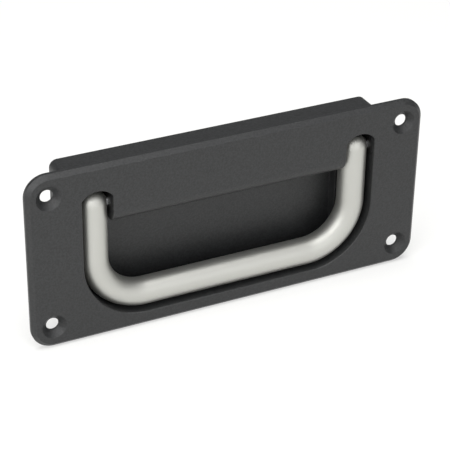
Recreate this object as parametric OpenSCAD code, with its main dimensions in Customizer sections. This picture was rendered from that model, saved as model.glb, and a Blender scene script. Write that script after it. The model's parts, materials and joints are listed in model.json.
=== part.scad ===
// Recessed pull handle: a die-cast tray with a sprung bail of round rod
// X runs across the width, Y from the face into the case, Z up
// The origin is the centre of the four screw holes, on the flange's back face

/* [Flange] */
// Width of the flange
flange_w = 180; // [172:1:220]
// Height of the flange
flange_h = 80; // [77:1:110]
// Thickness of the flange
flange_t = 3.4; // [3.2:0.1:4.5]
// Corner radius of the flange
flange_r = 9.5; // [5:0.5:14]
// Width of the bevel round the front face
bevel = 1.8; // [0.6:0.1:2.4]

/* [Screw holes] */
// Distance between the screw holes across the width
hole_dx = 161; // [160:1:164]
// Distance between the screw holes up the height
hole_dz = 60; // [50:1:62]
// Diameter of the screw holes
hole_d = 5.5; // [4.5:0.1:6]
// Diameter of the countersinks at the face
sink_d = 10.8; // [8:0.2:11]

/* [Box] */
// Width of the box behind the flange
box_w = 145.5; // [143:0.5:149]
// Height of the box's top above the middle
box_top = 35.5; // [34:0.5:36]
// Depth of the box behind the flange's back
box_d = 17.8; // [17:0.2:24]
// Radius of the box's two upper corners
box_r = 3.5; // [2:0.5:6]
// Thickness of the box's bottom wall
bottom_wall = 3; // [2.5:0.1:4]
// Rounding of the box's back edges
box_edge_r = 1; // [0.5:0.1:1.4]

/* [Recess] */
// Depth of the finger recess behind the face
recess_d = 18; // [17:0.2:19]
// Rounding of the recess's front edge
rim_r = 0.5; // [0.3:0.1:1.2]
// Radius of the arch at the top of each slot
arch_r = 8.45; // [7.9:0.05:8.8]
// Wall left beside each leg's ledge at the finger recess
ledge_wall = 2.5; // [2:0.1:3.2]
// Height of the panel's lower edge above the middle
lip_z = 11.6; // [11:0.1:12.2]
// Radius of the panel's rounded lower edge
lip_r = 6; // [5.6:0.1:6.4]
// Wall of the panel and of its lower edge
panel_t = 2.4; // [2:0.1:2.5]
// Wall between the finger recess and the pockets behind the ledges
pocket_wall = 2.2; // [1.5:0.1:3]
// Wall between the ledges and the pockets behind them
pocket_floor_t = 3.4; // [2.6:0.1:5]

/* [Bail] */
// Diameter of the rod
rod_d = 12; // [11.6:0.1:12.4]
// Distance between the middles of the legs
leg_pitch = 120; // [119:0.5:121]
// Distance from the pivot down to the middle of the bar
bail_drop = 47.2; // [44:0.2:49]
// Radius of the two bends, to the rod's middle
bend_r = 22; // [20:0.5:24]
// Depth of the rod's front behind the face
rod_sunk = 0.9; // [0.5:0.1:1.2]

/* [Pivot] */
// Height of the pivot above the middle
pivot_z = 20; // [19.6:0.1:20.4]
// Diameter of the axle
axle_d = 5; // [4.6:0.1:5.2]
// Chamfer on the axle's ends
axle_chamfer = 0.5; // [0.2:0.1:0.8]
// Thickness of the inner walls that carry the axle
bearing_t = 3.15; // [2.5:0.05:4]
// Outer diameter of the bushes' barrels
bush_d = 7; // [6.6:0.1:7.6]
// Diameter of the bushes' flanges
bush_flange_d = 10; // [9:0.2:11]
// Thickness of the bushes' flanges
bush_flange_t = 0.5; // [0.3:0.05:0.55]
// Length of the outer bushes' barrels
outer_bush_l = 5; // [3:0.1:5.4]
// Angle at which the bail is stopped
open_angle = 90; // [80:1:95]

/* [Leg screws] */
// Diameter of the set screws in the legs
leg_screw_d = 4; // [3:0.5:5]
// Length of the set screws
leg_screw_l = 3; // [2.4:0.1:3.1]
// Size of their hexagon sockets across the flats
leg_screw_af = 2; // [1.3:0.1:2.5]
// Depth of their hexagon sockets
leg_screw_socket = 1.6; // [1:0.1:1.8]

/* [Springs and stop pins] */
// Diameter of the spring wire
wire_d = 1.2; // [0.9:0.05:1.25]
// Diameter of the coil, to the wire's middle
coil_d = 7; // [6.7:0.05:7.1]
// Distance from one turn to the next
coil_pitch = 1.3; // [1.28:0.01:1.4]
// Number of full turns from the spring's leg to its hook
coil_turns = 7; // [5:1:8]
// Reach of the spring's leg behind the axle
spring_reach = 10.5; // [9:0.1:11]
// Diameter of the stop pins
pin_d = 2.5; // [2:0.1:2.6]
// Reach of the stop pins from the axle's middle
pin_reach = 5; // [4.9:0.05:5.1]
// Length of the stop pins
pin_l = 8; // [7.6:0.1:8.4]
// Distance of the stop pins from the middle
pin_x = 37; // [35:0.5:37]

/* [Buffers] */
// Diameter of the rubber buffers under the legs
buffer_d = 6; // [4:0.2:7]
// Depth of their seats in the ledges
buffer_seat = 1.8; // [1.2:0.1:2]
// Height of the buffers above the middle
buffer_z = -5; // [-8:0.5:4]

/* [Clearances] */
// Gap between the bar and the bottom of the recess
bar_gap = 0.3; // [0.25:0.05:0.8]
// Gap between a leg and the slot's wall on each side
slot_gap = 0.7; // [0.65:0.05:0.9]
// Gap between the legs' backs and their ledges
ledge_gap = 0.3; // [0.2:0.05:0.5]
// Radial running gap of the axle in its bushes
run_gap = 0.05; // [0.02:0.01:0.1]
// Radial gap of the parts that are pressed or locked together
seat_gap = 0.01; // [0.005:0.005:0.02]
// Gap left at the stop and at the springs' ends
touch_gap = 0.05; // [0.02:0.01:0.1]

/* [Hidden] */
$fn = 64;

// Overshoot of the cutting solids past the faces that they open
past = 1;

// Depths
face_y = -flange_t;
floor_y = face_y + recess_d;
rod_r = rod_d / 2;
pivot_y = face_y + rod_sunk + rod_r;
ledge_y = pivot_y + rod_r + ledge_gap;

// Recess and slots, with the recess's lower corners round the bail's bends
leg_x = leg_pitch / 2;
slot_in = leg_x - rod_r - slot_gap;
slot_out = leg_x + rod_r + slot_gap;
bar_z = pivot_z - bail_drop;
recess_bottom = bar_z - rod_r - bar_gap;
recess_r = bend_r + rod_r;
corner_x = slot_out - recess_r;
corner_z = recess_bottom + recess_r;
finger_x = slot_in + ledge_wall;

// Middle of the panel's rounded lower edge
nose_y = face_y + lip_r;
nose_z = lip_z + lip_r;

// Box, whose lower corners run round the recess's
box_x = box_w / 2;
box_bottom = recess_bottom - bottom_wall;
box_low_r = recess_r + bottom_wall;
low_x = box_x - box_low_r;
low_z = box_bottom + box_low_r;
high_x = box_x - box_r;
high_z = box_top - box_r;

// Bay for the springs behind the panel
bay_x = slot_in - bearing_t;
bay_y = face_y + panel_t;
bay_z = lip_z + panel_t;
bay_top = box_top - panel_t;
bay_r = lip_r - panel_t;

// Pockets behind the ledges
pocket_in = finger_x + pocket_wall;
pocket_out = box_x - pocket_floor_t;
pocket_top = box_top - pocket_floor_t;
pocket_r = 2;

// Depth of the axle's ends below the box's sides
axle_inset = 0.5;

// Stop pin: the corner of its end meets the panel's back at the open angle
pin_corner = norm([pin_reach, pin_d / 2]);
pin_open = acos((pivot_y - bay_y - touch_gap) / pin_corner) + atan(pin_d / 2 / pin_reach);
pin_rest = pin_open - 180 + open_angle;
pin_wall = 0.5;
pin_slot = 0.6;

// Spring: a leg on the bay's lower wall, the turns, and a hook behind the stop pin
coil_r = coil_d / 2;
wire_r = wire_d / 2;
hook_r = 1;
leg_drop = pivot_z - bay_z - wire_r - touch_gap;
leg_far = norm([spring_reach, leg_drop]);
coil_start = -atan(leg_drop / spring_reach) - acos(coil_r / leg_far);
hook_far = norm([coil_r, hook_r]);
hook_lag = asin((pin_d / 2 + wire_r + touch_gap) / hook_far);
coil_end = pin_rest - hook_lag + atan(hook_r / coil_r) - 360 * coil_turns;
coil_gap = 0.5;
coil_x = bay_x - wire_r - coil_gap;
coil_run = coil_pitch * (coil_start - coil_end) / 360;
coil_steps = 16 * coil_turns;
hook_end = pin_x - pin_d / 2 - wire_r;
wire_sides = 8;

// Colours
black_coat = [0.16, 0.16, 0.17];
stainless = [0.8, 0.8, 0.78];
axle_steel = [0.7, 0.71, 0.72];
bush_grey = [0.3, 0.3, 0.3];
screw_steel = [0.25, 0.25, 0.26];
spring_steel = [0.5, 0.5, 0.5];
rubber_black = [0.08, 0.08, 0.08];

// A flat outline in X and Z, extruded from one depth to another
module along_y(from, to) {
    translate([0, to, 0]) rotate([90, 0, 0]) linear_extrude(to - from) children();
}

// A flat section in Y and Z, extruded along X
module along_x(from, to) {
    translate([from, 0, 0]) rotate([90, 0, 90]) linear_extrude(to - from) children();
}

// A flat section in X and Y, extruded along Z
module along_z(from, to) {
    translate([0, 0, from]) linear_extrude(to - from) children();
}

// A round bar along X, at the pivot
module pivot_bar(r, from, to) {
    translate([from, pivot_y, pivot_z]) rotate([0, 90, 0]) cylinder(r = r, h = to - from);
}

// The same on the left as on the right
module both_sides() {
    children();
    mirror([1, 0, 0]) children();
}

// What a rounding takes off a square corner at the origin, whose solid lies towards -x and -y
module corner_waste(r) {
    difference() {
        translate([-r, -r]) square(r + past);
        translate([-r, -r]) circle(r);
    }
}

// Rectangle between two corners, with rounded corners of its own
module round_rect(from, to, r) {
    translate(from + [r, 0]) square(to - from - [2 * r, 0]);
    translate(from + [0, r]) square(to - from - [0, 2 * r]);
    for (x = [from[0] + r, to[0] - r]) {
        for (z = [from[1] + r, to[1] - r]) {
            translate([x, z]) circle(r);
        }
    }
}

// Half section of the flange, from its middle to an edge: distance across, then height above its back
function flange_half(a) = [[0, 0], [a, 0], [a, flange_t - bevel], [a - bevel, flange_t], [0, flange_t]];

// Flange: a bar each way between the corners, and a turned post at each corner
module flange() {
    x = flange_w / 2;
    z = flange_h / 2;
    both_sides() along_z(flange_r - z, z - flange_r)
        polygon([for (p = flange_half(x)) [p[0], -p[1]]]);
    for (side = [-1, 1]) {
        along_x(flange_r - x, x - flange_r) polygon([for (p = flange_half(z)) [-p[1], side * p[0]]]);
        both_sides() translate([x - flange_r, 0, side * (z - flange_r)]) rotate([90, 0, 0])
            rotate_extrude() polygon(flange_half(flange_r));
    }
}

// Section of the box between two sides, with rounded edges at its back
module box_section(from, to) {
    difference() {
        translate([from, 0]) square([to - from, box_d]);
        translate([to, box_d]) corner_waste(box_edge_r);
        translate([from, box_d]) mirror([1, 0]) corner_waste(box_edge_r);
    }
}

// Turned corner of the box, at a place in X and Z
module box_post(x, z, r) {
    translate([x, 0, z]) rotate([-90, 0, 0]) rotate_extrude() intersection() {
        box_section(-r, r);
        square([r, box_d]);
    }
}

// Box behind the flange, built like the flange
module box() {
    along_x(-low_x, low_x) mirror([1, -1]) box_section(box_bottom, box_top);
    along_x(-high_x, high_x) mirror([1, -1]) box_section(low_z, box_top);
    along_z(low_z, high_z) box_section(-box_x, box_x);
    both_sides() {
        box_post(high_x, high_z, box_r);
        box_post(low_x, low_z, box_low_r);
    }
}

// Section across a slot, with its outer front edge rounded, and its inner one where the panel stands beside it
module slot_section(beside_panel) {
    translate([slot_in, face_y - past]) square([slot_out - slot_in, ledge_y - face_y + past]);
    translate([slot_out, face_y]) rotate(180) corner_waste(rim_r);
    if (beside_panel) translate([slot_in, face_y]) mirror([0, 1]) corner_waste(rim_r);
}

// Space that the arch leaves at the top of a slot, and all below the pivot
module arch_space() {
    translate([leg_x, 0, pivot_z]) rotate([-90, 0, 0]) rotate_extrude() {
        translate([0, face_y - past]) square([arch_r, ledge_y - face_y + 2 * past]);
        translate([arch_r, face_y]) rotate(180) corner_waste(rim_r);
    }
    translate([leg_x - rod_d, face_y - 2 * past, corner_z - past])
        cube([2 * rod_d, ledge_y - face_y + 3 * past, pivot_z - corner_z + past]);
}

// Slot that a leg lies in: straight sides that meet a wider arch at its shoulders
module slot() {
    intersection() {
        union() {
            along_z(corner_z, nose_z) slot_section(false);
            along_z(nose_z, pivot_z + 2 * arch_r) slot_section(true);
        }
        arch_space();
    }
}

// Outline of the recess below the panel, out to a distance from the middle
module recess_outline(reach) {
    intersection() {
        union() {
            translate([-slot_out, corner_z]) square([2 * slot_out, nose_z - corner_z]);
            translate([-corner_x, recess_bottom]) square([2 * corner_x, nose_z - recess_bottom]);
            both_sides() translate([corner_x, corner_z]) circle(recess_r);
        }
        translate([-reach, recess_bottom - past]) square([2 * reach, nose_z - recess_bottom + past]);
    }
}

// Section of the hollow below the panel, whose lower edge is a rounded nose
module below_panel() {
    along_x(-slot_out - past, slot_out + past) difference() {
        translate([face_y - past, recess_bottom - past])
            square([floor_y - face_y + 2 * past, nose_z - recess_bottom + past]);
        translate([nose_y, nose_z]) circle(lip_r);
        translate([nose_y, lip_z]) square([floor_y - nose_y + 2 * past, lip_r + past]);
    }
}

// Hollow for the bail and the fingers: the slots and the bar's bed, and the deeper part between the legs
module hollow() {
    both_sides() slot();
    intersection() {
        below_panel();
        union() {
            along_y(face_y - past, ledge_y) recess_outline(slot_out + past);
            along_y(face_y - past, floor_y) recess_outline(finger_x);
        }
    }
}

// Rounding of the rest of the hollow's front edge: along the bottom, round the lower corners, down the ends of
// the panel's nose and back along its underside
module rim_waste() {
    along_x(-corner_x, corner_x) translate([face_y, recess_bottom]) mirror([1, 0]) corner_waste(rim_r);
    both_sides() {
        translate([corner_x, 0, corner_z]) rotate([-90, 0, 0]) rotate_extrude(angle = 90)
            translate([recess_r, face_y]) rotate(180) corner_waste(rim_r);
        translate([0, nose_y, nose_z]) rotate([0, 90, 0]) rotate([0, 0, -90]) rotate_extrude(angle = 90)
            translate([lip_r, slot_in]) corner_waste(rim_r);
        along_y(nose_y, ledge_y) translate([slot_in, lip_z]) mirror([0, 1]) corner_waste(rim_r);
    }
}

// Bay for the springs, open at the back, with the panel's even wall in front of it and below it
module bay() {
    along_x(-bay_x, bay_x) {
        translate([bay_y, nose_z]) square([box_d + past - bay_y, bay_top - nose_z]);
        translate([nose_y, bay_z]) square([box_d + past - nose_y, nose_z - bay_z]);
        translate([nose_y, nose_z]) circle(bay_r);
    }
}

// Countersunk hole for a mounting screw
module screw_hole() {
    sink = (sink_d - hole_d) / 2;
    rotate([-90, 0, 0]) {
        translate([0, 0, face_y - past]) cylinder(d = hole_d, h = flange_t + 2 * past);
        translate([0, 0, face_y - past]) cylinder(r1 = sink_d / 2 + past, r2 = hole_d / 2, h = sink + past);
    }
}

module tray() {
    color(black_coat) difference() {
        union() {
            flange();
            box();
        }
        hollow();
        rim_waste();
        bay();
        both_sides() {
            for (side = [-1, 1]) {
                translate([hole_dx / 2, 0, side * hole_dz / 2]) screw_hole();
            }
            pivot_bar(bush_d / 2 + seat_gap, bay_x - past, box_x + past);
            along_y(ledge_y + pocket_floor_t, box_d + past)
                round_rect([pocket_in, low_z], [pocket_out, pocket_top], pocket_r);
            along_y(ledge_y - past, ledge_y + buffer_seat)
                translate([leg_x, buffer_z]) circle(buffer_d / 2 + seat_gap);
        }
    }
}

// Right half of the bent rod: half the bar, a bend, and a leg with a domed end
module bail_half() {
    translate([0, pivot_y, bar_z]) rotate([0, 90, 0]) cylinder(r = rod_r, h = leg_x - bend_r);
    translate([leg_x - bend_r, pivot_y, bar_z + bend_r]) rotate([90, 0, 0]) rotate([0, 0, -90])
        rotate_extrude(angle = 90) translate([bend_r, 0]) circle(rod_r);
    translate([leg_x, pivot_y, bar_z + bend_r]) cylinder(r = rod_r, h = bail_drop - bend_r);
    translate([leg_x, pivot_y, pivot_z]) sphere(rod_r);
}

module bail() {
    color(stainless) difference() {
        both_sides() bail_half();
        both_sides() {
            pivot_bar(axle_d / 2 + seat_gap, slot_in, slot_out);
            translate([leg_x, pivot_y, pivot_z]) rotate([-90, 0, 0])
                cylinder(r = leg_screw_d / 2 + seat_gap, h = rod_d);
        }
    }
}

// Places a child on the right stop pin's line, with its end at the pin's reach
module on_pin_line() {
    translate([pin_x, pivot_y, pivot_z]) rotate([pin_rest - 90, 0, 0])
        translate([0, 0, pin_reach - pin_l]) children();
}

module axle() {
    end_x = box_x - axle_inset;
    color(axle_steel) difference() {
        union() {
            pivot_bar(axle_d / 2, axle_chamfer - end_x, end_x - axle_chamfer);
            both_sides() translate([end_x - axle_chamfer, pivot_y, pivot_z]) rotate([0, 90, 0])
                cylinder(r1 = axle_d / 2, r2 = axle_d / 2 - axle_chamfer, h = axle_chamfer);
        }
        both_sides() on_pin_line() cylinder(r = pin_d / 2 + seat_gap, h = pin_l);
    }
}

// Flanged bush along +X, with its flange's face at the origin
module bush(length) {
    rotate([0, 90, 0]) difference() {
        union() {
            cylinder(d = bush_flange_d, h = bush_flange_t);
            cylinder(d = bush_d, h = bush_flange_t + length);
        }
        translate([0, 0, -past]) cylinder(r = axle_d / 2 + run_gap, h = bush_flange_t + length + 2 * past);
    }
}

module outer_bush() {
    color(bush_grey) translate([slot_out - bush_flange_t, pivot_y, pivot_z]) bush(outer_bush_l);
}

module inner_bush() {
    color(bush_grey) translate([slot_in + bush_flange_t, pivot_y, pivot_z]) mirror([1, 0, 0]) bush(bearing_t);
}

// Set screw from the back of a leg down to the axle, with a hexagon socket
module leg_screw() {
    color(screw_steel) translate([leg_x, pivot_y + axle_d / 2, pivot_z]) rotate([-90, 0, 0]) difference() {
        cylinder(d = leg_screw_d, h = leg_screw_l);
        translate([0, 0, leg_screw_l - leg_screw_socket])
            cylinder(d = leg_screw_af / cos(30), h = leg_screw_socket + past, $fn = 6);
    }
}

// Slotted spring pin
module stop_pin() {
    color(axle_steel) on_pin_line() difference() {
        cylinder(d = pin_d, h = pin_l);
        translate([0, 0, -past]) cylinder(r = pin_d / 2 - pin_wall, h = pin_l + 2 * past);
        translate([0, -pin_slot / 2, -past]) cube([pin_d, pin_slot, pin_l + 2 * past]);
    }
}

// Directions in the plane across the axle: away from its middle, and clockwise round it
function outward(a) = [0, cos(a), sin(a)];
function clockwise(a) = [0, sin(a), -cos(a)];

// A station of the wire holds its middle, its direction and a direction across it
function leg_station() =
    [[[coil_x, pivot_y + spring_reach, pivot_z - leg_drop], clockwise(coil_start), outward(coil_start)]];

function coil_station(part) = let(
        a = coil_start + (coil_end - coil_start) * part,
        middle = [coil_x - coil_run * part, pivot_y, pivot_z],
        along = [-coil_run, 0, 0] + coil_r * (coil_start - coil_end) * PI / 180 * clockwise(a)
    ) [middle + coil_r * outward(a), along / norm(along), outward(a)];

function hook_station(turn) = let(
        from = [coil_x - coil_run, pivot_y, pivot_z] + coil_r * outward(coil_end),
        aside = [-1, 0, 0],
        middle = from + hook_r * (sin(turn) * clockwise(coil_end) + (1 - cos(turn)) * aside)
    ) [middle, cos(turn) * clockwise(coil_end) + sin(turn) * aside, outward(coil_end)];

function end_station() = let(last = hook_station(90)) [[[hook_end, last[0][1], last[0][2]], last[1], last[2]]];

function wire_stations() = concat(
    leg_station(),
    [for (i = [0:coil_steps]) coil_station(i / coil_steps)],
    [for (turn = [22.5, 45, 67.5, 90]) hook_station(turn)],
    end_station());

// Round wire along its stations
module wire(stations) {
    count = len(stations);
    points = [for (s = stations) for (i = [0:wire_sides - 1])
        s[0] + wire_r * (cos(360 * i / wire_sides) * s[2] + sin(360 * i / wire_sides) * cross(s[1], s[2]))];
    sides = [for (j = [0:count - 2]) for (i = [0:wire_sides - 1]) let(
            here = j * wire_sides,
            next = here + wire_sides,
            k = (i + 1) % wire_sides
        ) [here + i, next + i, next + k, here + k]];
    first = [for (i = [0:wire_sides - 1]) i];
    last = [for (i = [wire_sides - 1:-1:0]) (count - 1) * wire_sides + i];
    polyhedron(points, concat([first], sides, [last]));
}

// Torsion spring round the axle
module spring() {
    color(spring_steel) wire(wire_stations());
}

// Rubber buffer in its seat in a ledge, just short of the leg's back
module buffer() {
    color(rubber_black) along_y(ledge_y - ledge_gap + touch_gap, ledge_y + buffer_seat)
        translate([leg_x, buffer_z]) circle(d = buffer_d);
}

tray();
bail();
axle();
mirror([1, 0, 0]) outer_bush();  // bush_left_outer
mirror([1, 0, 0]) inner_bush();  // bush_left_inner
inner_bush();  // bush_right_inner
outer_bush();  // bush_right_outer
mirror([1, 0, 0]) leg_screw();  // leg_screw_left
leg_screw();  // leg_screw_right
mirror([1, 0, 0]) stop_pin();  // stop_pin_left
stop_pin();  // stop_pin_right
mirror([1, 0, 0]) spring();  // spring_left
spring();  // spring_right
mirror([1, 0, 0]) buffer();  // buffer_left
buffer();  // buffer_right
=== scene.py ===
import json
import math

import bpy
from mathutils import Matrix, Vector


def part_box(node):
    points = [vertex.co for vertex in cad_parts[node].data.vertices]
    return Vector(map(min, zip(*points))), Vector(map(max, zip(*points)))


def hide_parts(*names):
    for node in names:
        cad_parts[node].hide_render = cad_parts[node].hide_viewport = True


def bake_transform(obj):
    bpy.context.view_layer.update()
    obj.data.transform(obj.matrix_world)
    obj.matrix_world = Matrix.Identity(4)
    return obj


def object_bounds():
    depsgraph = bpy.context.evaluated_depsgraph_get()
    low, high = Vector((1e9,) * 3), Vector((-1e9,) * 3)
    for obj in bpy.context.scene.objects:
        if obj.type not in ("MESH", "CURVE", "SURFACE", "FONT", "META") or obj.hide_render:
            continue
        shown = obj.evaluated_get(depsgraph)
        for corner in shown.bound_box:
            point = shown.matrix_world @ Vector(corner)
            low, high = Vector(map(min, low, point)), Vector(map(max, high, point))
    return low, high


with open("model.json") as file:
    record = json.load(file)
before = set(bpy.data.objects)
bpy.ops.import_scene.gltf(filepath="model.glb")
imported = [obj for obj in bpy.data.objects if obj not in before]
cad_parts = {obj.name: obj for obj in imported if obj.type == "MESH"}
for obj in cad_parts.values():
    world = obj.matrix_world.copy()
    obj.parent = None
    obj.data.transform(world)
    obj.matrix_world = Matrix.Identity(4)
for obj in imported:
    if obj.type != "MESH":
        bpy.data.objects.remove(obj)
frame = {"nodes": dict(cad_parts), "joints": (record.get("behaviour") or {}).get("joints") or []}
CAD_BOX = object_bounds()

bl_info = {
    "name": "Recessed pull handle",
    "version": (1, 0, 0),
    "blender": (4, 5, 0),
    "location": "3D View > Sidebar > Handle",
    "description": "Finishes, springs and studio for a recessed pull handle",
    "category": "Object",
}

MM = 0.001

# Which way each side of the handle lies along x
HANDS = {"left": -1, "right": 1}

# Sockets of the Mix node, whose colour inputs share their names with its other inputs
MIX_A = 6
MIX_B = 7
MIX_RESULT = 2


def linear(hex_colour):
    """The linear value of an sRGB hex colour."""
    code = hex_colour.lstrip("#")
    channels = [int(code[i:i + 2], 16) / 255 for i in (0, 2, 4)]
    return tuple(c / 12.92 if c <= 0.04045 else ((c + 0.055) / 1.055) ** 2.4 for c in channels)


def opaque(colour):
    """A linear colour with full alpha, as shader sockets take it."""
    return (*colour, 1.0)


class HandleFinishes(bpy.types.PropertyGroup):
    """Colours and grain of the handle's surfaces."""

    powder_colour: bpy.props.FloatVectorProperty(
        name="Powder coat", description="Colour of the black powder coat",
        subtype="COLOR", min=0, max=1, default=linear("#141516"))
    # Painted highlight: colour of the grains' tops, lighter than the coat, as if they caught the light
    powder_grain_highlight_colour: bpy.props.FloatVectorProperty(
        name="Powder coat peaks", description="Colour of the powder coat where its grains stand up",
        subtype="COLOR", min=0, max=1, default=linear("#262728"))
    powder_grain: bpy.props.FloatProperty(
        name="Powder grain", description="Distance between the grains of the powder coat's texture",
        unit="LENGTH", min=0.1 * MM, max=2 * MM, default=0.8 * MM)
    powder_height: bpy.props.FloatProperty(
        name="Powder grain height", description="Height of the powder coat's grains",
        unit="LENGTH", min=0, max=0.2 * MM, default=0.1 * MM)
    powder_edge: bpy.props.FloatProperty(
        name="Powder edge", description="Rounding that the powder coat gives to the casting's edges",
        unit="LENGTH", min=0, max=1 * MM, default=0.25 * MM)
    rod_colour: bpy.props.FloatVectorProperty(
        name="Stainless rod", description="Colour of the blasted stainless rod",
        subtype="COLOR", min=0, max=1, default=linear("#c3c3be"))
    rod_grain: bpy.props.FloatProperty(
        name="Rod grain", description="Distance between the pits that blasting leaves on the rod",
        unit="LENGTH", min=0.05 * MM, max=1 * MM, default=0.6 * MM)
    rod_height: bpy.props.FloatProperty(
        name="Rod grain height", description="Depth of the pits that blasting leaves on the rod",
        unit="LENGTH", min=0, max=0.1 * MM, default=0.025 * MM)
    steel_colour: bpy.props.FloatVectorProperty(
        name="Ground steel", description="Colour of the axle and the stop pins",
        subtype="COLOR", min=0, max=1, default=linear("#c4c5c6"))
    spring_colour: bpy.props.FloatVectorProperty(
        name="Spring wire", description="Colour of the drawn spring wire",
        subtype="COLOR", min=0, max=1, default=linear("#8f8f91"))
    screw_colour: bpy.props.FloatVectorProperty(
        name="Black screws", description="Colour of the black-oxidised set screws",
        subtype="COLOR", min=0, max=1, default=linear("#2a2a2c"))
    # Partly the bearing polymer's own dark colour and partly painted shade: set near black so that the
    # bushes in the gaps beside the legs read as shaded
    bush_colour_and_shade: bpy.props.FloatVectorProperty(
        name="Bushes", description="Colour of the moulded bearing polymer",
        subtype="COLOR", min=0, max=1, default=linear("#121212"))
    rubber_colour: bpy.props.FloatVectorProperty(
        name="Buffers", description="Colour of the rubber buffers",
        subtype="COLOR", min=0, max=1, default=linear("#1c1c1c"))


class HandleSprings(bpy.types.PropertyGroup):
    """Sizes of the two torsion springs round the axle."""

    wire: bpy.props.FloatProperty(
        name="Wire", description="Diameter of the spring wire", unit="LENGTH", default=1.2 * MM)
    coil: bpy.props.FloatProperty(
        name="Coil", description="Diameter of the coil, to the wire's middle", unit="LENGTH",
        default=7 * MM)
    pitch: bpy.props.FloatProperty(
        name="Pitch", description="Distance from one turn to the next", unit="LENGTH", default=1.3 * MM)
    turns: bpy.props.IntProperty(
        name="Turns", description="Turns from the leg to the hook", min=1, default=7)
    hook_bend: bpy.props.FloatProperty(
        name="Hook bend", description="Radius of the bend into the hook", unit="LENGTH", default=1 * MM)
    touch: bpy.props.FloatProperty(
        name="Touch", description="Gap left where the ends bear", unit="LENGTH", default=0.05 * MM)


class HandleStudio(bpy.types.PropertyGroup):
    """Lights and floor of the studio."""

    left_power: bpy.props.FloatProperty(
        name="Left light", description="Power of the soft light on the left", min=0, default=2.3)
    top_power: bpy.props.FloatProperty(
        name="Top light", description="Power of the large soft light overhead", min=0, default=22.0)
    front_power: bpy.props.FloatProperty(
        name="Front light", description="Power of the large soft light in front", min=0, default=9.0)
    right_power: bpy.props.FloatProperty(
        name="Right light", description="Power of the soft light in front and to the right", min=0,
        default=4.5)
    room_strength: bpy.props.FloatProperty(
        name="Room light", description="Strength of the even light from all round", min=0, default=0.24)
    floor_colour: bpy.props.FloatVectorProperty(
        name="Floor", description="Colour of the white table",
        subtype="COLOR", min=0, max=1, default=linear("#bcbcba"))
    floor_glow: bpy.props.FloatProperty(
        name="Floor white", description="What the floor gains, up to white, where it is seen", min=0,
        default=0.45)


def add_node(material, kind, inputs=None, links=None, **settings):
    """Adds a node to a material, with its settings and values, and links outputs to its inputs."""
    tree = material.node_tree
    node = tree.nodes.new(kind)
    for name, value in settings.items():
        setattr(node, name, value)
    for name, value in (inputs or {}).items():
        node.inputs[name].default_value = value
    for name, output in (links or {}).items():
        tree.links.new(output, node.inputs[name])
    return node


def start_material(name):
    """A material without nodes."""
    material = bpy.data.materials.new(name)
    material.use_nodes = True
    material.node_tree.nodes.clear()
    return material


def own_point(material):
    """The point on the material's piece, so that a pattern moves with the piece."""
    return add_node(material, "ShaderNodeTexCoord").outputs["Object"]


def end_material(material, shader):
    """Links a shader to the material's surface."""
    add_node(material, "ShaderNodeOutputMaterial", links={"Surface": shader.outputs[0]})
    return material


# Noise with some finer noise in it, for grains and pits
UNEVEN = {"Detail": 2.0, "Roughness": 0.6}

# Powder coat: index of polyester, the grain's heights over which its colour goes from painted shade in the
# hollows to painted highlight on the tops, and its roughness
POWDER_IOR = 1.55
POWDER_GRAIN_HIGHLIGHT = {"From Min": 0.35, "From Max": 0.65}
POWDER_ROUGHNESS = {"To Min": 0.44, "To Max": 0.52}
EDGE_SAMPLES = 6


def powder_coat(finishes):
    """Black polyester powder coat on die-cast zinc, cured into a fine pebbled skin.

    It gives the eye a soft, broad sheen that breaks up into small grains, and edges rounded by the coat.
    Painted highlight on the grains' tops and painted shade in their hollows make them lighter and darker.
    The real grains are about 0.5 mm apart, and are drawn coarser so that they show.
    """
    material = start_material("powder_coat_fine_texture")
    where = own_point(material)
    grain = add_node(material, "ShaderNodeTexNoise", {"Scale": 1 / finishes.powder_grain, **UNEVEN},
                     {"Vector": where})
    edges = add_node(material, "ShaderNodeBevel", {"Radius": finishes.powder_edge},
                     samples=EDGE_SAMPLES)
    bump = add_node(material, "ShaderNodeBump", {"Strength": 1.0, "Distance": finishes.powder_height},
                    {"Height": grain.outputs["Fac"], "Normal": edges.outputs["Normal"]})
    # Painted highlight and shade: the colour goes lighter on the grains' tops and darker in their hollows
    peaks = add_node(material, "ShaderNodeMapRange", POWDER_GRAIN_HIGHLIGHT, {"Value": grain.outputs["Fac"]})
    tone = add_node(material, "ShaderNodeMix",
                    {MIX_A: opaque(finishes.powder_colour), MIX_B: opaque(finishes.powder_grain_highlight_colour)},
                    {0: peaks.outputs["Result"]}, data_type="RGBA")
    sheen = add_node(material, "ShaderNodeMapRange", POWDER_ROUGHNESS, {"Value": grain.outputs["Fac"]})
    shader = add_node(material, "ShaderNodeBsdfPrincipled", {"IOR": POWDER_IOR},
                      {"Base Color": tone.outputs[MIX_RESULT], "Roughness": sheen.outputs["Result"],
                       "Normal": bump.outputs["Normal"]})
    return end_material(material, shader)


# Blasted rod: the size of the clouds in which its roughness varies, and that roughness
ROD_CLOUD = 11 * MM
ROD_ROUGHNESS = {"To Min": 0.46, "To Max": 0.54}


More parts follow.
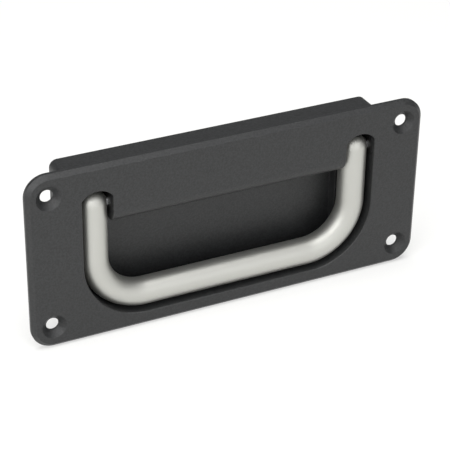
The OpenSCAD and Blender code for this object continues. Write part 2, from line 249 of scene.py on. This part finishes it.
def blasted_stainless(finishes):
    """Stainless rod, blasted with fine glass beads after bending.

    It gives the eye a pale, even metal with blurred reflections and a faint grain.
    The real pits are about 0.1 mm apart, and are drawn coarser so that they show.
    """
    material = start_material("stainless_rod_bead_blasted")
    where = own_point(material)
    pits = add_node(material, "ShaderNodeTexNoise", {"Scale": 1 / finishes.rod_grain, **UNEVEN},
                    {"Vector": where})
    bump = add_node(material, "ShaderNodeBump", {"Strength": 1.0, "Distance": finishes.rod_height},
                    {"Height": pits.outputs["Fac"]})
    clouds = add_node(material, "ShaderNodeTexNoise", {"Scale": 1 / ROD_CLOUD, "Detail": 3.0},
                      {"Vector": where})
    blur = add_node(material, "ShaderNodeMapRange", ROD_ROUGHNESS, {"Value": clouds.outputs["Fac"]})
    shader = add_node(material, "ShaderNodeBsdfPrincipled",
                      {"Base Color": opaque(finishes.rod_colour), "Metallic": 1.0},
                      {"Roughness": blur.outputs["Result"], "Normal": bump.outputs["Normal"]})
    return end_material(material, shader)


# How far the roughness of turned metal and of moulded parts goes up and down with their pattern
ROUGHNESS_SPREAD = 0.05

# Lines on turned metal: their depth, and their number in a metre along x, y and z. On the axle and the pins
# they stand 0.17 mm apart along x, and on the springs 0.25 mm apart along y and z
LINE_DEPTH = 0.002 * MM
GROUND_LINES = (6000, 600, 600)
DRAWN_LINES = (900, 4000, 4000)
GROUND_ROUGHNESS = 0.25
DRAWN_ROUGHNESS = 0.38


def turned_metal(name, colour, roughness, lines):
    """Metal turned, ground or drawn to size, with fine lines round it or along it.

    It gives the eye a clean metal whose reflection is drawn out across the lines.
    """
    material = start_material(name)
    where = own_point(material)
    stretch = add_node(material, "ShaderNodeMapping", {"Scale": lines}, {"Vector": where})
    marks = add_node(material, "ShaderNodeTexNoise", {"Scale": 1.0, "Detail": 2.0},
                     {"Vector": stretch.outputs["Vector"]})
    bump = add_node(material, "ShaderNodeBump", {"Strength": 1.0, "Distance": LINE_DEPTH},
                    {"Height": marks.outputs["Fac"]})
    blur = add_node(material, "ShaderNodeMapRange",
                    {"To Min": roughness - ROUGHNESS_SPREAD, "To Max": roughness + ROUGHNESS_SPREAD},
                    {"Value": marks.outputs["Fac"]})
    shader = add_node(material, "ShaderNodeBsdfPrincipled",
                      {"Base Color": opaque(colour), "Metallic": 1.0},
                      {"Roughness": blur.outputs["Result"], "Normal": bump.outputs["Normal"]})
    return end_material(material, shader)


# Black oxide: the size of its stains, its roughness, and how much of the metal shows through it
OXIDE_STAIN = 0.8 * MM
OXIDE_ROUGHNESS = {"To Min": 0.32, "To Max": 0.5}
OXIDE_METAL = 0.6


def black_oxide(finishes):
    """Steel blackened in a hot oxide bath and oiled.

    It gives the eye a near-black, slightly glossy skin that lets some metal through.
    """
    material = start_material("steel_black_oxide")
    where = own_point(material)
    stains = add_node(material, "ShaderNodeTexNoise", {"Scale": 1 / OXIDE_STAIN, "Detail": 3.0},
                      {"Vector": where})
    blur = add_node(material, "ShaderNodeMapRange", OXIDE_ROUGHNESS, {"Value": stains.outputs["Fac"]})
    shader = add_node(material, "ShaderNodeBsdfPrincipled",
                      {"Base Color": opaque(finishes.screw_colour), "Metallic": OXIDE_METAL},
                      {"Roughness": blur.outputs["Result"]})
    return end_material(material, shader)


# Moulded parts: the grain that an eroded tool leaves on them, and the roughness and index of each kind
MOULD_GRAIN = 0.2 * MM
MOULD_GRAIN_HEIGHT = 0.006 * MM
POLYMER_ROUGHNESS = 0.45
POLYMER_IOR = 1.48
RUBBER_ROUGHNESS = 0.7
RUBBER_IOR = 1.52


def moulded(name, colour, roughness, index):
    """Polymer or rubber moulded in an eroded steel tool.

    It gives the eye a plain dull surface with a very fine even grain.
    """
    material = start_material(name)
    where = own_point(material)
    grain = add_node(material, "ShaderNodeTexNoise", {"Scale": 1 / MOULD_GRAIN, "Detail": 1.0},
                     {"Vector": where})
    bump = add_node(material, "ShaderNodeBump", {"Strength": 1.0, "Distance": MOULD_GRAIN_HEIGHT},
                    {"Height": grain.outputs["Fac"]})
    blur = add_node(material, "ShaderNodeMapRange",
                    {"To Min": roughness - ROUGHNESS_SPREAD, "To Max": roughness + ROUGHNESS_SPREAD},
                    {"Value": grain.outputs["Fac"]})
    shader = add_node(material, "ShaderNodeBsdfPrincipled",
                      {"Base Color": opaque(colour), "IOR": index},
                      {"Roughness": blur.outputs["Result"], "Normal": bump.outputs["Normal"]})
    return end_material(material, shader)


def dress(node, material):
    """Puts one material on every slot of a CAD piece."""
    piece = frame["nodes"][node]
    if not piece.material_slots:
        piece.data.materials.append(material)
    for slot in piece.material_slots:
        slot.material = material


class HANDLE_OT_tray(bpy.types.Operator):
    """Coats the die-cast tray"""

    bl_idname = "handle.tray"
    bl_label = "Coat the tray"

    def execute(self, context):
        dress("tray", powder_coat(context.scene.handle_finishes))
        return {"FINISHED"}


class HANDLE_OT_bail(bpy.types.Operator):
    """Blasts the bent rod of the bail"""

    bl_idname = "handle.bail"
    bl_label = "Finish the bail"

    def execute(self, context):
        dress("bail", blasted_stainless(context.scene.handle_finishes))
        return {"FINISHED"}


class HANDLE_OT_pivots(bpy.types.Operator):
    """Finishes the axle, its pins and screws, the bushes and the buffers"""

    bl_idname = "handle.pivots"
    bl_label = "Finish the pivots"

    def execute(self, context):
        finishes = context.scene.handle_finishes
        ground = turned_metal("steel_centreless_ground", finishes.steel_colour, GROUND_ROUGHNESS,
                              GROUND_LINES)
        oxide = black_oxide(finishes)
        polymer = moulded("bearing_polymer_moulded", finishes.bush_colour_and_shade, POLYMER_ROUGHNESS, POLYMER_IOR)
        rubber = moulded("nitrile_rubber_moulded", finishes.rubber_colour, RUBBER_ROUGHNESS, RUBBER_IOR)
        dress("axle", ground)
        for side in HANDS:
            dress(f"stop_pin_{side}", ground)
            dress(f"leg_screw_{side}", oxide)
            dress(f"bush_{side}_outer", polymer)
            dress(f"bush_{side}_inner", polymer)
            dress(f"buffer_{side}", rubber)
        return {"FINISHED"}


class HANDLE_OT_springs(bpy.types.Operator):
    """Winds the two torsion springs, with their hooks at the stop pins"""

    bl_idname = "handle.springs"
    bl_label = "Wind the springs"

    def execute(self, context):
        finishes = context.scene.handle_finishes
        wire = turned_metal("spring_steel_drawn", finishes.spring_colour, DRAWN_ROUGHNESS, DRAWN_LINES)
        for side in HANDS:
            wind_spring(context.scene.handle_springs, side, wire)
        return {"FINISHED"}


# How finely a spring is drawn: its stations in a turn and in the bend into the hook, and its wire's sides
TURN_STEPS = 40
BEND_STEPS = 8
WIRE_SIDES = 20


def spring_stations(sizes, side):
    """Middle, direction and outward direction of the wire, from the leg's end to the hook's."""
    joint = frame["joints"][0]
    pivot = Vector(joint["pos_m"])
    low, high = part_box(f"spring_{side}")
    hand = HANDS[side]
    coil = sizes.coil / 2
    wire = sizes.wire / 2

    def outward(angle):
        return Vector((0, math.cos(angle), math.sin(angle)))

    def clockwise(angle):
        return Vector((0, math.sin(angle), -math.cos(angle)))

    # The leg's end lies lowest and furthest back, and the hook's end nearest the middle
    leg_end = Vector((0, high.y, low.z + wire))
    first_x = (high.x if hand > 0 else -low.x) - wire
    hook_x = low.x if hand > 0 else -high.x
    reach = Vector((0, leg_end.y - pivot.y, leg_end.z - pivot.z))
    start = math.atan2(reach.z, reach.y) - math.acos(coil / reach.length)

    pin_low, pin_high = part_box(f"stop_pin_{side}")
    pin_middle = (pin_low + pin_high) / 2 - pivot
    pin_angle = math.atan2(pin_middle.z, pin_middle.y)
    pin_radius = (pin_high.x - pin_low.x) / 2
    hook_far = math.hypot(coil, sizes.hook_bend)
    lag = math.asin((pin_radius + wire + sizes.touch) / hook_far)
    end = pin_angle - lag + math.atan2(sizes.hook_bend, coil) - 2 * math.pi * sizes.turns
    run = sizes.pitch * (start - end) / (2 * math.pi)

    stations = [(Vector((first_x, *leg_end.yz)), clockwise(start), outward(start))]
    steps = TURN_STEPS * sizes.turns
    for i in range(steps + 1):
        part = i / steps
        angle = start + (end - start) * part
        middle = Vector((first_x - run * part, pivot.y, pivot.z)) + coil * outward(angle)
        along = Vector((-run, 0, 0)) + coil * (start - end) * clockwise(angle)
        stations.append((middle, along.normalized(), outward(angle)))
    corner = stations[-1][0]
    onward = clockwise(end)
    inward = Vector((-1, 0, 0))
    for i in range(1, BEND_STEPS + 1):
        turn = math.pi / 2 * i / BEND_STEPS
        middle = corner + sizes.hook_bend * (math.sin(turn) * onward + (1 - math.cos(turn)) * inward)
        stations.append((middle, math.cos(turn) * onward + math.sin(turn) * inward, outward(end)))
    last = stations[-1]
    stations.append((Vector((hook_x, *last[0].yz)), last[1], last[2]))
    flip = Matrix.Diagonal((hand, 1, 1))
    return [tuple(flip @ v for v in station) for station in stations], run


def wind_spring(sizes, side, material):
    """Builds one spring as a round wire along its stations, from its leg to the hook at the stop pin, and
    hides the CAD spring.
    """
    stations, run = spring_stations(sizes, side)
    radius = sizes.wire / 2
    verts = []
    for middle, along, out in stations:
        across = along.cross(out)
        for i in range(WIRE_SIDES):
            angle = 2 * math.pi * i / WIRE_SIDES
            verts.append(middle + radius * (math.cos(angle) * out + math.sin(angle) * across))
    faces = []
    last_ring = (len(stations) - 1) * WIRE_SIDES
    for ring in range(0, last_ring, WIRE_SIDES):
        beyond = ring + WIRE_SIDES
        for i in range(WIRE_SIDES):
            k = (i + 1) % WIRE_SIDES
            faces.append([ring + i, ring + k, beyond + k, beyond + i])
    faces.append(list(range(WIRE_SIDES))[::-1])
    faces.append([last_ring + i for i in range(WIRE_SIDES)])
    mesh = bpy.data.meshes.new(f"spring_wire_{side}")
    mesh.from_pydata([tuple(v) for v in verts], [], faces)
    mesh.validate()
    for polygon in mesh.polygons:
        polygon.use_smooth = len(polygon.vertices) == 4
    mesh.materials.append(material)
    spring = bpy.data.objects.new(f"spring_wire_{side}", mesh)
    bpy.context.scene.collection.objects.link(spring)
    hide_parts(f"spring_{side}")
    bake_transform(spring)


# Each softbox by its setting: its place and the side of its square, in metres
SOFTBOXES = {
    "left": ((-0.5, -0.3, 0.3), 0.5),
    "top": ((-0.1, -0.1, 1.45), 1.4),
    "front": ((0, -1.6, 0.6), 1.6),
    "right": ((1.0, -1.4, 0.8), 1.4),
}

# Half the table's side in metres, so wide that a low view doesn't reach its edge
TABLE_HALF = 12.0


class HANDLE_OT_stage(bpy.types.Operator):
    """Sets the white table, the lights, the room and the camera"""

    bl_idname = "handle.stage"
    bl_label = "Set the stage"

    def execute(self, context):
        studio = context.scene.handle_studio
        lay_floor(studio)
        light_room(context.scene, studio)
        aim = (CAD_BOX[0] + CAD_BOX[1]) / 2
        for name, (where, size) in SOFTBOXES.items():
            add_softbox(f"{name}_softbox", where, aim, size, getattr(studio, f"{name}_power"))
        place_camera(context.scene)
        context.scene.view_settings.view_transform = "Standard"
        return {"FINISHED"}


def seen_rays(material):
    """One for rays from the camera, and for those that gloss or glass sends on, and nought for the rest."""
    paths = add_node(material, "ShaderNodeLightPath")
    direct = add_node(material, "ShaderNodeMath", operation="MAXIMUM",
                      links={0: paths.outputs["Is Camera Ray"], 1: paths.outputs["Is Transmission Ray"]})
    every = add_node(material, "ShaderNodeMath", operation="MAXIMUM",
                     links={0: direct.outputs[0], 1: paths.outputs["Is Glossy Ray"]})
    return every.outputs[0]


def lay_floor(studio):
    """White table under the handle, which keeps the handle's shadow."""
    level = CAD_BOX[0].z
    mesh = bpy.data.meshes.new("table")
    corners = [(x * TABLE_HALF, y * TABLE_HALF, level) for x, y in ((-1, -1), (1, -1), (1, 1), (-1, 1))]
    mesh.from_pydata(corners, [], [(0, 1, 2, 3)])
    floor = bpy.data.objects.new("table", mesh)
    bpy.context.scene.collection.objects.link(floor)
    material = start_material("table_white_laminate")
    seen = seen_rays(material)
    strength = add_node(material, "ShaderNodeMath", {1: studio.floor_glow}, {0: seen},
                        operation="MULTIPLY")
    glow = add_node(material, "ShaderNodeEmission", links={"Strength": strength.outputs[0]})
    matt = add_node(material, "ShaderNodeBsdfDiffuse", {"Color": opaque(studio.floor_colour)})
    both = add_node(material, "ShaderNodeAddShader", links={0: matt.outputs[0], 1: glow.outputs[0]})
    mesh.materials.append(end_material(material, both))


def light_room(scene, studio):
    """Even light from all round."""
    world = bpy.data.worlds.new("white_room")
    scene.world = world
    world.use_nodes = True
    world.node_tree.nodes.clear()
    light = add_node(world, "ShaderNodeBackground",
                     {"Color": (1, 1, 1, 1), "Strength": studio.room_strength})
    add_node(world, "ShaderNodeOutputWorld", links={"Surface": light.outputs[0]})


def add_softbox(name, where, aim, size, power):
    """Square area light that faces the handle."""
    data = bpy.data.lights.new(name, "AREA")
    data.shape = "SQUARE"
    data.size = size
    data.energy = power
    lamp = bpy.data.objects.new(name, data)
    bpy.context.scene.collection.objects.link(lamp)
    lamp.location = where
    lamp.rotation_euler = (aim - Vector(where)).to_track_quat("-Z", "Y").to_euler()


# The photograph's camera: its place in millimetres from the mounting face's middle, its turn to the right,
# its dip and its roll in radians, its lens in millimetres on a sensor of that width, and how near and how
# far it sees in metres
CAMERA_PLACE = (-265.125, -537.304, 349.362)
CAMERA_TURN = 0.455271608
CAMERA_DIP = 0.531667281
CAMERA_ROLL = 0.015291703
CAMERA_LENS = 132.28
SENSOR_WIDTH = 36.0
CAMERA_NEAR = 0.01
CAMERA_FAR = 20


def place_camera(scene):
    """Camera at the photograph's place and angle."""
    data = bpy.data.cameras.new("photo_camera")
    data.lens = CAMERA_LENS
    data.sensor_width = SENSOR_WIDTH
    data.clip_start = CAMERA_NEAR
    data.clip_end = CAMERA_FAR
    camera = bpy.data.objects.new("photo_camera", data)
    scene.collection.objects.link(camera)
    ahead = Vector((math.sin(CAMERA_TURN) * math.cos(CAMERA_DIP),
                    math.cos(CAMERA_TURN) * math.cos(CAMERA_DIP), -math.sin(CAMERA_DIP)))
    level = Vector((math.cos(CAMERA_TURN), -math.sin(CAMERA_TURN), 0))
    upright = level.cross(ahead)
    right = math.cos(CAMERA_ROLL) * level + math.sin(CAMERA_ROLL) * upright
    up = math.cos(CAMERA_ROLL) * upright - math.sin(CAMERA_ROLL) * level
    turn = Matrix((right, up, -ahead)).transposed().to_4x4()
    camera.matrix_world = Matrix.Translation(Vector(CAMERA_PLACE) * MM) @ turn
    scene.camera = camera


class HANDLE_PT_panel(bpy.types.Panel):
    """Shows the handle's operators and its settings for finishes, springs and the stage"""

    bl_idname = "HANDLE_PT_panel"
    bl_label = "Recessed pull handle"
    bl_space_type = "VIEW_3D"
    bl_region_type = "UI"
    bl_category = "Handle"

    def draw(self, context):
        for operator in OPERATORS:
            self.layout.operator(operator.bl_idname)
        scene = context.scene
        for group in (scene.handle_finishes, scene.handle_springs, scene.handle_studio):
            box = self.layout.box()
            for name in group.__annotations__:
                box.prop(group, name)


GROUPS = (HandleFinishes, HandleSprings, HandleStudio)
OPERATORS = (HANDLE_OT_tray, HANDLE_OT_bail, HANDLE_OT_pivots, HANDLE_OT_springs, HANDLE_OT_stage)


def register():
    """Registers the classes and hangs the settings on the scene."""
    for cls in (*GROUPS, *OPERATORS, HANDLE_PT_panel):
        bpy.utils.register_class(cls)
    bpy.types.Scene.handle_finishes = bpy.props.PointerProperty(type=HandleFinishes)
    bpy.types.Scene.handle_springs = bpy.props.PointerProperty(type=HandleSprings)
    bpy.types.Scene.handle_studio = bpy.props.PointerProperty(type=HandleStudio)


def unregister():
    """Takes the settings and the classes away again."""
    del bpy.types.Scene.handle_studio
    del bpy.types.Scene.handle_springs
    del bpy.types.Scene.handle_finishes
    for cls in reversed((*GROUPS, *OPERATORS, HANDLE_PT_panel)):
        bpy.utils.unregister_class(cls)


def main():
    """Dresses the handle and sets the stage."""
    register()
    bpy.ops.handle.tray()
    bpy.ops.handle.bail()
    bpy.ops.handle.pivots()
    bpy.ops.handle.springs()
    bpy.ops.handle.stage()


if __name__ == "__main__":
    main()
